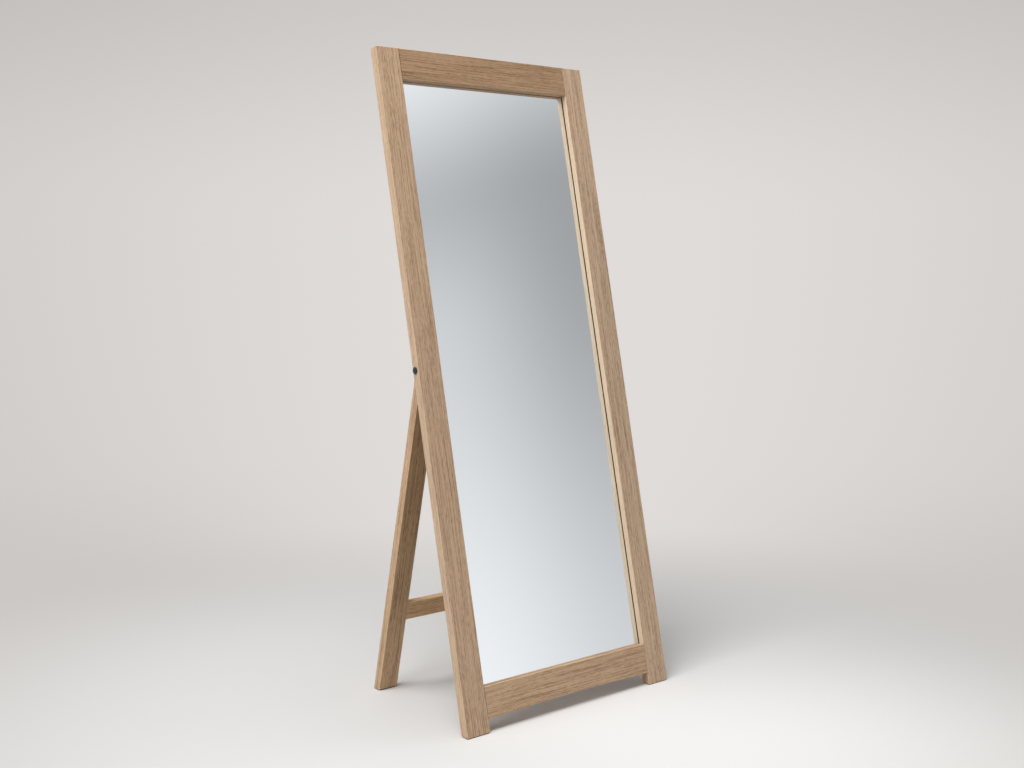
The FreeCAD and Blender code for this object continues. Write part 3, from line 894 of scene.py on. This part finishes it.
# %% Make the four pads
def felt_pad(node):
    """Felt slab a little inside a node's box, with hairs that stay within the box."""
    low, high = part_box(node)
    shape = bmesh.new()
    size = (high.x - low.x - 2 * fuzz_inset, high.y - low.y - 2 * fuzz_inset, high.z - low.z)
    place = Matrix.Translation((low + high) / 2) @ Matrix.Diagonal((*size, 1.0))
    bmesh.ops.create_cube(shape, size=1.0, matrix=place)
    uprights = [edge for edge in shape.edges if abs(edge.verts[0].co.z - edge.verts[1].co.z) > size[2] / 2]
    bmesh.ops.bevel(shape, geom=uprights, offset=pad_corner, segments=5, affect="EDGES")
    pad = finish_mesh(shape, f"felt_{node}")
    grow(pad, fuzz, {"Density": fuzz_per_square_metre, "Hair Length": fuzz_length,
                     "Hair Radius": fuzz_radius, "Seed": fuzz_seed, "Finish": felt.material})
    for vertex in pad.data.vertices:
        vertex.co = [min(max(part, least), most) for part, least, most in zip(vertex.co, low, high)]
    return pad


for body_name, feet in (("frame", "front"), ("stand", "rear")):
    for side in ("left", "right"):
        node = f"foot_pad_{feet}_{side}"
        pad = felt_pad(node)
        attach(pad, body_name)
        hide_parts(node)

# %% [markdown]
# ## The studio
# The mirror stands in a pale studio whose floor sweeps up into the wall, so that no corner shows. A
# flat floor with a plane behind it would show its seam. The sweep is turned on the lathe, all the way
# round, so that the piece has a quiet background from every side.

# %% Floor and wall
floor_radius = 3.4
sweep_radius = 1.6
wall_top = 6.0
studio_steps = 96                # round the studio
wall_outline = arc((floor_radius, sweep_radius), sweep_radius, -90, 0, 16)
wall_outline += [(floor_radius + sweep_radius, wall_top)]
studio_floor = lathe("studio_floor", [(floor_radius, 0), (0, 0)], studio_steps)
studio_wall = lathe("studio_wall", wall_outline[::-1], studio_steps)
studio_wall.visible_diffuse = False
studio_wall.visible_shadow = False
print("floor", 2 * floor_radius, "m across, wall", wall_top, "m high")

# %% [markdown]
# The lamps light the floor round the mirror. Further out they would fade, so from there on the floor and
# the wall give their own even light, a little brighter behind the mirror and a little darker high up.
# The pane also throws a pale pool of light on the floor before it. Lamps that reflections can't see
# throw none, so the pool is part of the floor's own light.

# %% Studio paint
paint_colour = rgba(0.790, 0.781, 0.769)
wall_colour = rgba(1.045, 1.0, 0.968)
brightest_bearing = 42.0         # degrees from +Y towards +X
even_light = 0.715               # brightness of the floor's and wall's own light there
side_loss = 0.14                 # what it loses to the sides
top_share = 0.8                  # what is left of it high on the wall
own_light_starts = 0.5           # metres from the middle
own_light_whole = 1.9
pool_centre = (0.25, -0.75)
pool_radius = 0.95
pool_brightness = 0.13

studio_paint = Finish("studio_paint", Roughness=1.0, Specular_IOR_Level=0.0, Emission_Strength=1.0)
floor_x, floor_y, wall_height = studio_paint.parts(studio_paint.place())
distance = studio_paint.math("SQRT", floor_x * floor_x + floor_y * floor_y)
bearing = studio_paint.math("ARCTAN2", floor_x, floor_y) * math.degrees(1)
off_centre = studio_paint.math("ABSOLUTE", bearing - brightest_bearing)
own_share = studio_paint.step(distance, own_light_starts, own_light_whole)
own_light = even_light - studio_paint.step(off_centre, 5.0, 60.0, 0.0, side_loss)
own_light = own_light * studio_paint.step(wall_height, 1.2, 2.9, 1.0, top_share)
studio_paint.feed("Base Color", studio_paint.blend(own_share, paint_colour, rgba(0, 0, 0)))
pool_x = floor_x - pool_centre[0]
pool_y = floor_y - pool_centre[1]
from_pool = studio_paint.math("SQRT", pool_x * pool_x + pool_y * pool_y)
pool_light = studio_paint.step(from_pool, 0.0, pool_radius, pool_brightness, 0.0)
studio_paint.feed("Emission Color", studio_paint.tinted(wall_colour, own_share * own_light + pool_light))
for surface in (studio_floor, studio_wall):
    surface.data.materials.append(studio_paint.material)
print("studio paint has", len(studio_paint.node_tree.nodes), "nodes")

# %% [markdown]
# The pane shows what lies in front of it, on the far side of the camera. In the photograph that is a
# bright floor that fades upwards into a grey wall, with a large soft light overhead. A shell round the
# studio carries that picture. Its rim lies just above the floor, so that floor and shell show no edge
# where they meet. Its light comes from a formula on Object coordinates, it is seen only by reflections,
# and it lights nothing. The edge of the lit part on the left leans a little, as it does in the pane.

# %% What the mirror reflects
shell_radius = 3.9
rim_start = (1.2, 0.001)
rim_end = (3.3, 0.002)
rim_turn = 1.4                   # degrees above the floor, where the sweep of the wall is lower still
shell_outline = [rim_start, rim_end] + arc((0, 0), shell_radius, rim_turn, 90, 24)
shell_outline[-1] = (0, shell_radius)
shell = lathe("reflected_studio", shell_outline, studio_steps)
shell.visible_camera = False
shell.visible_diffuse = False
shell.visible_shadow = False
shell.visible_transmission = False
shell.visible_volume_scatter = False
print("reflected studio", 2 * shell_radius, "m across")

# %% [markdown]
# The shell's brightness is a sum of four parts: a grey everywhere, the bright floor that fades upwards,
# more light on the left, and the soft light overhead. Angles are in degrees from the studio's middle.

# %% Light on the shell
wall_glow = 0.39
floor_glow = 0.30
side_glow_low = 0.29
side_glow_high = 0.11
soft_box_glow = 0.52
rim_glow = 0.85                  # share that the rim starts with, beside the lit floor
edge_bearing = 31.5              # where the left light ends, at the height of the floor
edge_lean = 0.127                # how far it moves with each degree upwards
edge_width = 12.5

glow = Finish("reflected_light", Base_Color=rgba(0, 0, 0), Specular_IOR_Level=0.0, Emission_Strength=1.0)
shell_x, shell_y, shell_z = glow.parts(glow.place())
bearing = glow.math("ARCTAN2", shell_x, 0 - shell_y) * math.degrees(1)
height = glow.math("ARCSINE", shell_z / shell_radius) * math.degrees(1)
to_the_right = (bearing - edge_lean * height - edge_bearing) / edge_width
on_the_left = glow.step(to_the_right, -0.15, 1.1, 1.0, 0.0)
floor_light = glow.step(height, -4.0, 34.0, floor_glow, 0.0)
side_light = glow.step(height, 28.0, 41.0, side_glow_low, side_glow_high) * on_the_left
soft_box = glow.step(height, 37.0, 53.0, 0.0, soft_box_glow)
from_middle = glow.add("ShaderNodeVectorMath", {"operation": "LENGTH"}, {0: glow.place()}, output="Value")
rim_fade = glow.step(from_middle, rim_start[0], rim_end[0], rim_glow, 1.0)
brightness = (wall_glow + floor_light + side_light + soft_box) * rim_fade
glow.feed("Emission Color", glow.tinted(rgba(1.0, 1.0, 1.0), brightness))
shell.data.materials.append(glow.material)
print("reflected light has", len(glow.node_tree.nodes), "nodes")

# %% [markdown]
# The photograph's light falls mostly from above: the floor is bright on all sides, and the gap under
# the bottom rail is dark. Two soft boxes hang over the mirror, one of them to its left, so that the
# outer edge of the left stile is the brightest wood. A key light on the left and a light on the right
# fill the upright faces. Their powers were fitted to the tones of the photograph, light by light.

# %% Lights
def soft_light(name, place, target, width, height, power):
    """Rectangular area light that faces a target and isn't seen in reflections."""
    light = bpy.data.lights.new(name, "AREA")
    light.shape = "RECTANGLE"
    light.size = width
    light.size_y = height
    light.energy = power
    lamp = bpy.data.objects.new(name, light)
    lamp.location = place
    lamp.rotation_euler = (Vector(target) - Vector(place)).to_track_quat("-Z", "Y").to_euler()
    lamp.visible_camera = False
    lamp.visible_glossy = False
    scene.collection.objects.link(lamp)
    print(name, power, "W")


middle = (0.0, 0.0, 0.75)
soft_light("overhead_light", (-0.2, -0.1, 3.8), (0, 0, 0), 3.2, 3.2, 53)
soft_light("overhead_left_light", (-2.0, -0.5, 4.2), (0, 0, 0.3), 2.5, 2.5, 146)
soft_light("key_light", (-3.2, -0.3, 1.7), middle, 3.0, 2.6, 24)
soft_light("right_light", (3.2, -1.6, 2.2), middle, 2.6, 2.6, 21)
